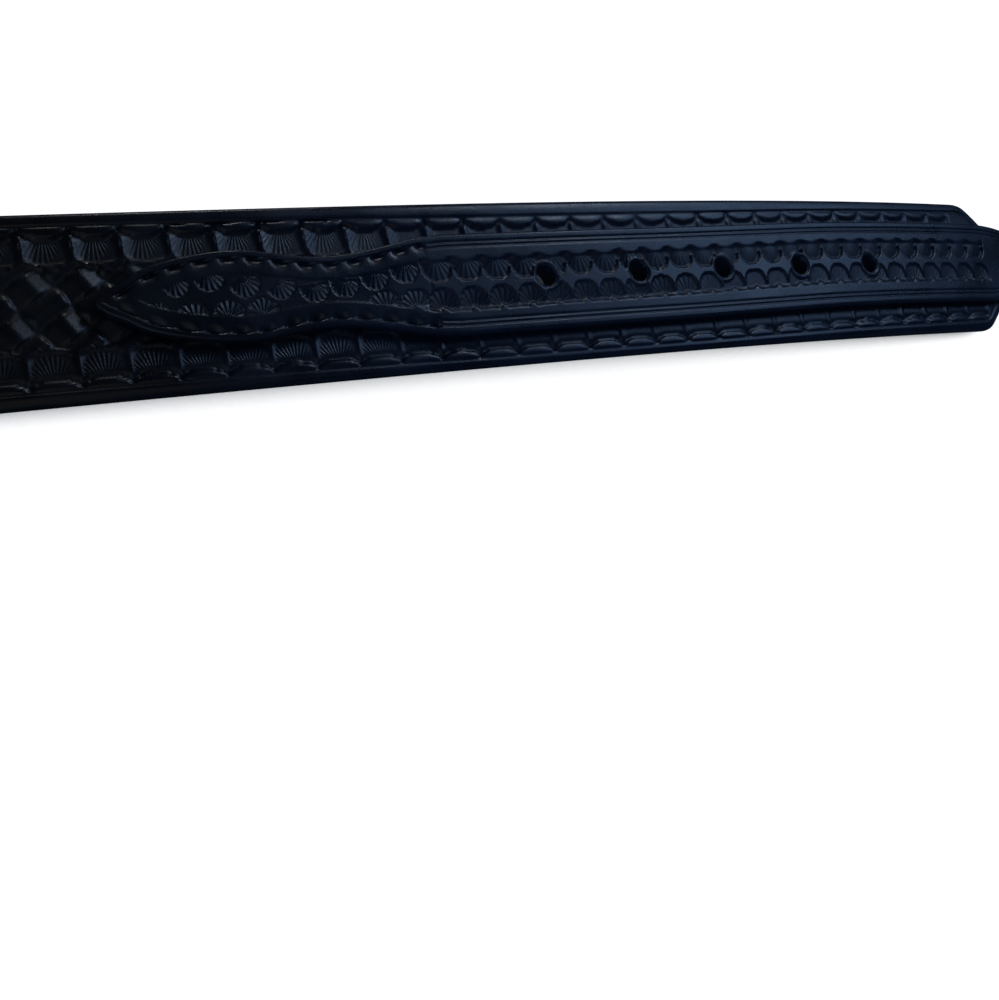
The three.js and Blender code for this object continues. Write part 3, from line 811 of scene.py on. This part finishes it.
def post_mesh(form, name, station):
    """Post turned about an upright axis: a sunk lower head, a shank and a low upper head with a soft crown."""
    head, shank = SCREW_HEAD_DIAMETER / 2, SCREW_SHANK_DIAMETER / 2
    seat = form.flap_level + form.thickness / 2 + GAP
    crown = seat + SCREW_HEAD_THICKNESS
    bevel = np.radians(np.linspace(0.0, 90.0, 7))
    inner, brow = head - SCREW_EDGE, crown - SCREW_EDGE
    lower = [(inner + SCREW_EDGE * np.sin(a), SCREW_EDGE - SCREW_EDGE * np.cos(a)) for a in bevel]
    upper = [(inner + SCREW_EDGE * np.cos(a), brow + SCREW_EDGE * np.sin(a)) for a in bevel]
    profile = [(0.02, 0.0), *lower, (head, SCREW_HEAD_THICKNESS), (shank, SCREW_HEAD_THICKNESS), (shank, seat),
               (head, seat), *upper, (0.02, crown)]
    return turned(name, profile, 64, (float(form.run(station)[0]), 0.0))


def add_node(tree, kind, settings=None, links=None):
    """Adds a shader node, sets its properties and inputs, and links sockets into its inputs."""
    node = tree.nodes.new("ShaderNode" + kind)
    for key, value in (settings or {}).items():
        if isinstance(key, int) or key in node.inputs:
            node.inputs[key].default_value = value
        else:
            setattr(node, key, value)
    for key, socket in (links or {}).items():
        tree.links.new(socket, node.inputs[key])
    return node


def new_material(name):
    """Empty node material with its output."""
    material = bpy.data.materials.new(name)
    material.use_nodes = True
    material.node_tree.nodes.clear()
    return material, material.node_tree


# Where the colour turns bluer as a painted blue fill light, in metres along X
PAINTED_FILL_SPAN = (0.225, 0.3)

# Half size of the floor, in metres
FLOOR_HALF = 4.0


def dyed_leather(name, dye, painted_fill_dye, flesh, roughness, tooled):
    """Vegetable-tanned cowhide, drum dyed blue-black and finished with a satin wax.

    The eye sees a nearly black ground with a soft bluish gloss on the smooth, raised parts, and duller stamps
    whose colour is darkened with their depth as painted shade. Towards the tip the colour turns bluer as a
    painted blue fill light. Pores lie about 0.35 mm apart, and a faint cloudiness is some 12 mm wide.
    """
    material, tree = new_material(name)
    place = add_node(tree, "TexCoord").outputs["Object"]
    pores = add_node(tree, "TexNoise", {"Scale": 2800.0, "Detail": 3.0, "Roughness": 0.6},
                     {"Vector": place}).outputs["Fac"]
    clouds = add_node(tree, "TexNoise", {"Scale": 85.0, "Detail": 3.0}, {"Vector": place}).outputs["Fac"]
    creases = add_node(tree, "TexVoronoi", {"feature": "DISTANCE_TO_EDGE", "Scale": 900.0},
                       {"Vector": place}).outputs["Distance"]
    grain = add_node(tree, "Math", {"operation": "MULTIPLY_ADD", 1: 0.6}, {0: creases, 2: pores})
    recess = add_node(tree, "Attribute", {"attribute_name": "recess"}).outputs["Fac"]
    flesh_side = add_node(tree, "Attribute", {"attribute_name": "flesh"}).outputs["Fac"]
    cloudy = add_node(tree, "MapRange", {"From Min": 0.35, "From Max": 0.65, "To Min": 0.75, "To Max": 1.25},
                      {"Value": clouds}).outputs["Result"]
    # Painted shade: the colour is darkened by up to a fifth where the stamps are pressed deepest
    painted_recess_shade = add_node(tree, "MapRange", {"From Max": 0.8, "To Min": 1.0, "To Max": 0.8},
                       {"Value": recess}).outputs["Result"]
    clouds_and_painted_shade = add_node(tree, "Math", {"operation": "MULTIPLY"}, {0: cloudy, 1: painted_recess_shade}).outputs[0]
    along = add_node(tree, "SeparateXYZ", None, {0: place}).outputs["X"]
    # Painted blue fill light: along X the colour goes from the dye to the bluer tone towards the tip
    painted_fill_share = add_node(tree, "MapRange", {"From Min": PAINTED_FILL_SPAN[0], "From Max": PAINTED_FILL_SPAN[1]},
                       {"Value": along}).outputs["Result"]
    dye_and_painted_fill = add_node(tree, "Mix", {"data_type": "RGBA", 6: dye, 7: painted_fill_dye}, {0: painted_fill_share}).outputs[2]
    ground = add_node(tree, "Mix", {"data_type": "RGBA", "blend_type": "MULTIPLY", 0: 1.0},
                      {6: dye_and_painted_fill, 7: clouds_and_painted_shade}).outputs[2]
    colour = add_node(tree, "Mix", {"data_type": "RGBA", 7: flesh}, {0: flesh_side, 6: ground}).outputs[2]
    gloss = add_node(tree, "MapRange", {"From Min": 0.35, "From Max": 0.65, "To Min": roughness - 0.05,
                                        "To Max": roughness + 0.05}, {"Value": clouds}).outputs["Result"]
    duller = add_node(tree, "Math", {"operation": "MULTIPLY_ADD", 1: 0.16}, {0: recess, 2: gloss}).outputs[0]
    rough = add_node(tree, "Math", {"operation": "MULTIPLY_ADD", 1: 0.45, "use_clamp": True},
                     {0: flesh_side, 2: duller}).outputs[0]
    bump = add_node(tree, "Bump", {"Strength": 0.5, "Distance": 0.00004}, {"Height": grain.outputs[0]})
    if tooled:
        turns = add_node(tree, "Attribute", {"attribute_name": "flute_turns"}).outputs["Fac"]
        depth = add_node(tree, "Attribute", {"attribute_name": "flute_depth"}).outputs["Fac"]
        angle = add_node(tree, "Math", {"operation": "MULTIPLY", 1: 2 * np.pi}, {0: turns}).outputs[0]
        wave = add_node(tree, "Math", {"operation": "COSINE"}, {0: angle}).outputs[0]
        flutes = add_node(tree, "Math", {"operation": "MULTIPLY"}, {0: wave, 1: depth}).outputs[0]
        bump = add_node(tree, "Bump", {"Strength": 1.0, "Distance": 0.00014},
                        {"Height": flutes, "Normal": bump.outputs[0]})
    shader = add_node(tree, "BsdfPrincipled", {"IOR": 1.5, "Specular IOR Level": 0.5},
                      {"Base Color": colour, "Roughness": rough, "Normal": bump.outputs[0]})
    add_node(tree, "OutputMaterial", None, {"Surface": shader.outputs[0]})
    return material


def nickel_plate(name, colour, roughness):
    """Steel rod, bent, polished and nickel plated: a warm bright mirror with faint polishing haze."""
    material, tree = new_material(name)
    place = add_node(tree, "TexCoord").outputs["Object"]
    haze = add_node(tree, "TexNoise", {"Scale": 260.0, "Detail": 4.0}, {"Vector": place}).outputs["Fac"]
    scratches = add_node(tree, "TexNoise", {"Scale": 3500.0, "Detail": 2.0},
                         {"Vector": place}).outputs["Fac"]
    rough = add_node(tree, "MapRange", {"From Min": 0.3, "From Max": 0.7, "To Min": roughness - 0.05,
                                        "To Max": roughness + 0.09}, {"Value": haze}).outputs["Result"]
    bump = add_node(tree, "Bump", {"Strength": 0.15, "Distance": 0.00001}, {"Height": scratches})
    shader = add_node(tree, "BsdfPrincipled", {"Base Color": colour, "Metallic": 1.0},
                      {"Roughness": rough, "Normal": bump.outputs[0]})
    add_node(tree, "OutputMaterial", None, {"Surface": shader.outputs[0]})
    return material


def glowing_floor_with_painted_shadow(name, colour):
    """Glowing white floor: an even white, with a painted contact shadow from ambient occlusion where something
    lies close over it.
    """
    material, tree = new_material(name)
    # Painted shadow: the floor's glow is cut down by ambient occlusion under and round the belt, which also
    # darkens the holes
    occlusion_for_painted_shadow = add_node(tree, "AmbientOcclusion", {"samples": 16, "Distance": 0.03}).outputs["AO"]
    glow = add_node(tree, "MapRange", {"From Min": 0.28, "From Max": 0.55, "To Max": 0.98},
                    {"Value": occlusion_for_painted_shadow}).outputs["Result"]
    white = (1.0, 1.0, 1.0, 1.0)
    shader = add_node(tree, "BsdfPrincipled", {
        "Base Color": colour, "Roughness": 0.9, "Specular IOR Level": 0.0, "Emission Color": white},
        {"Emission Strength": glow})
    add_node(tree, "OutputMaterial", None, {"Surface": shader.outputs[0]})
    return material


def named_material(name, build, *values):
    """The material of that name, built the first time that a piece asks for it."""
    return bpy.data.materials.get(name) or build(name, *values)


def belt_leather(name, colours, roughness, tooled):
    """One of the belt's leathers, in the belt's colours."""
    dyes = (colours.fresh_dye, colours.painted_fill_dye, colours.flesh_side)
    return named_material(name, dyed_leather, *dyes, roughness, tooled)


class BELT_OT_strap(bpy.types.Operator):
    """Add the tooled strap with its fold, holes and seats"""

    bl_idname = "belt.add_strap"
    bl_label = "Add strap"

    def execute(self, context):
        form, colours = BeltForm(context.scene.belt_sizes), context.scene.belt_colours
        leather = belt_leather("blue_black_bridle_leather", colours, 0.28, True)
        make_piece(strap_mesh(form), form, leather, ["body_strap"])
        return {"FINISHED"}


class BELT_OT_overlay(bpy.types.Operator):
    """Add the raised tooled layer on the tip"""

    bl_idname = "belt.add_overlay"
    bl_label = "Add raised layer"

    def execute(self, context):
        form, colours = BeltForm(context.scene.belt_sizes), context.scene.belt_colours
        leather = belt_leather("blue_black_billet_leather", colours, 0.28, True)
        make_piece(overlay_mesh(form), form, leather, ["tip_overlay"])
        return {"FINISHED"}


class BELT_OT_buckle(bpy.types.Operator):
    """Add the plain buckle with its prong"""

    bl_idname = "belt.add_buckle"
    bl_label = "Add buckle"

    def execute(self, context):
        form, colours = BeltForm(context.scene.belt_sizes), context.scene.belt_colours
        plate = named_material("polished_nickel_plate", nickel_plate, colours.nickel, 0.16)
        make_piece(buckle_meshes(form), form, plate, ["buckle"])
        return {"FINISHED"}


class BELT_OT_keeper(bpy.types.Operator):
    """Add the leather keeper loop"""

    bl_idname = "belt.add_keeper"
    bl_label = "Add keeper"

    def execute(self, context):
        form, colours = BeltForm(context.scene.belt_sizes), context.scene.belt_colours
        leather = belt_leather("blue_black_keeper_leather", colours, 0.4, False)
        make_piece(keeper_mesh(form), form, leather, ["keeper_loop"])
        return {"FINISHED"}


class BELT_OT_posts(bpy.types.Operator):
    """Add the two screw posts that hold the fold"""

    bl_idname = "belt.add_posts"
    bl_label = "Add posts"

    def execute(self, context):
        form, colours = BeltForm(context.scene.belt_sizes), context.scene.belt_colours
        plate = named_material("satin_nickel_plate", nickel_plate, colours.nickel, 0.24)
        for number, station in enumerate(form.screws, start=1):
            mesh = post_mesh(form, f"post_{number}", station)
            make_piece(mesh, form, plate, [f"screw_post_{number}"], 40.0)
        return {"FINISHED"}


def add_lamp(name, target, direction, distance, size, radiance, colour):
    """Soft lamp of a width and height that looks at a target: its power is radiance * pi * area."""
    away = np.array(direction, float)
    away /= np.linalg.norm(away)
    light = bpy.data.lights.new(name, "AREA")
    light.shape, light.size, light.size_y = "RECTANGLE", *size
    light.energy = radiance * np.pi * size[0] * size[1]
    light.color = colour
    lamp = bpy.data.objects.new(name, light)
    side = np.cross((0.0, 0.0, 1.0), away)
    side /= np.linalg.norm(side)
    up = np.cross(away, side)
    place = np.eye(4)
    place[:3] = np.stack([side, up, away, target + distance * away], axis=1)
    lamp.matrix_world = Matrix(place.tolist())
    bpy.context.scene.collection.objects.link(lamp)


class BELT_OT_stage(bpy.types.Operator):
    """Add the floor, the soft lamps, the surroundings and the camera"""

    bl_idname = "belt.add_stage"
    bl_label = "Add stage"

    def execute(self, context):
        scene = context.scene
        form = BeltForm(scene.belt_sizes)
        half = FLOOR_HALF
        mesh = bpy.data.meshes.new("floor")
        corners = [(-half, -half, 0), (half, -half, 0), (half, half, 0), (-half, half, 0)]
        mesh.from_pydata(corners, [], [(0, 1, 2, 3)])
        mesh.materials.append(named_material("floor_with_painted_contact_shadow", glowing_floor_with_painted_shadow, scene.belt_colours.floor))
        floor = bpy.data.objects.new("floor", mesh)
        scene.collection.objects.link(floor)
        floor.visible_glossy = floor.visible_diffuse = False

        hole_x = (form.bar_x + float(form.run(form.first_hole)[0])) * MM
        target = np.array([hole_x, 0.0, 0.01])
        add_lamp("window", target, (0.661, 0.397, 0.636), 1.5, (0.8, 0.56), 1.85, (0.36, 0.58, 1.0))
        add_lamp("bulb", target, (0.53, 0.56, 0.65), 1.5, (0.2, 0.2), 6.0, (0.85, 0.93, 1.0))
        add_lamp("side_lamp", target, (0.2, 0.91, 0.33), 1.8, (0.22, 0.22), 12.0, (0.95, 0.97, 1.0))
        add_lamp("room", target, (-0.1, -0.3, 0.95), 2.0, (1.2, 1.2), 0.16, (1.0, 0.88, 0.85))
        add_lamp("fill", target, (-0.55, -0.65, 0.5), 1.6, (1.6, 1.6), 0.4, (0.4, 0.7, 1.0))

        world = bpy.data.worlds.new("studio")
        world.use_nodes = True
        tree = world.node_tree
        tree.nodes.clear()
        place = add_node(tree, "TexCoord").outputs["Generated"]
        height = add_node(tree, "SeparateXYZ", None, {0: place}).outputs["Z"]
        paler = add_node(tree, "MapRange", {"From Min": 0.05, "From Max": 0.3, "To Min": 0.12, "To Max": 0.02},
                         {"Value": height}).outputs["Result"]
        risen = add_node(tree, "MapRange", {"From Min": -0.1, "From Max": 0.05, "To Min": 0.15},
                         {"Value": height}).outputs["Result"]
        glow = add_node(tree, "Math", {"operation": "MULTIPLY"}, {0: paler, 1: risen}).outputs[0]
        air = add_node(tree, "Background", {"Color": (0.45, 0.66, 1.0, 1.0)}, {"Strength": glow})
        add_node(tree, "OutputWorld", None, {"Surface": air.outputs[0]})
        scene.world = world

        camera = bpy.data.cameras.new("camera")
        camera.sensor_width, camera.lens = 36.0, 46.8
        camera.clip_start = 0.01
        viewer = bpy.data.objects.new("camera", camera)
        viewer.location = (hole_x - 0.15598, -0.08493, 0.003 + 0.24913)
        viewer.rotation_euler = np.radians((14.0515, -26.8271, -13.7416)).tolist()
        scene.collection.objects.link(viewer)
        scene.camera = viewer
        scene.view_settings.view_transform = "Standard"
        return {"FINISHED"}


OPERATORS = (BELT_OT_strap, BELT_OT_overlay, BELT_OT_buckle, BELT_OT_keeper, BELT_OT_posts, BELT_OT_stage)


class BELT_PT_panel(bpy.types.Panel):
    """Sizes, colours and buttons of the belt"""

    bl_idname = "BELT_PT_panel"
    bl_label = "Tooled belt"
    bl_space_type = "VIEW_3D"
    bl_region_type = "UI"
    bl_category = "Belt"

    def draw(self, context):
        for group in (context.scene.belt_sizes, context.scene.belt_colours):
            box = self.layout.box()
            for key in group.__annotations__:
                box.prop(group, key)
        for operator in OPERATORS:
            self.layout.operator(operator.bl_idname)


CLASSES = (BeltSizes, BeltColours, *OPERATORS, BELT_PT_panel)


def register():
    for item in CLASSES:
        bpy.utils.register_class(item)
    bpy.types.Scene.belt_sizes = bpy.props.PointerProperty(type=BeltSizes)
    bpy.types.Scene.belt_colours = bpy.props.PointerProperty(type=BeltColours)


def unregister():
    del bpy.types.Scene.belt_colours
    del bpy.types.Scene.belt_sizes
    for item in reversed(CLASSES):
        bpy.utils.unregister_class(item)


def main():
    register()
    bpy.ops.belt.add_stage()
    bpy.ops.belt.add_strap()
    bpy.ops.belt.add_overlay()
    bpy.ops.belt.add_buckle()
    bpy.ops.belt.add_keeper()
    bpy.ops.belt.add_posts()


if __name__ == "__main__":
    main()
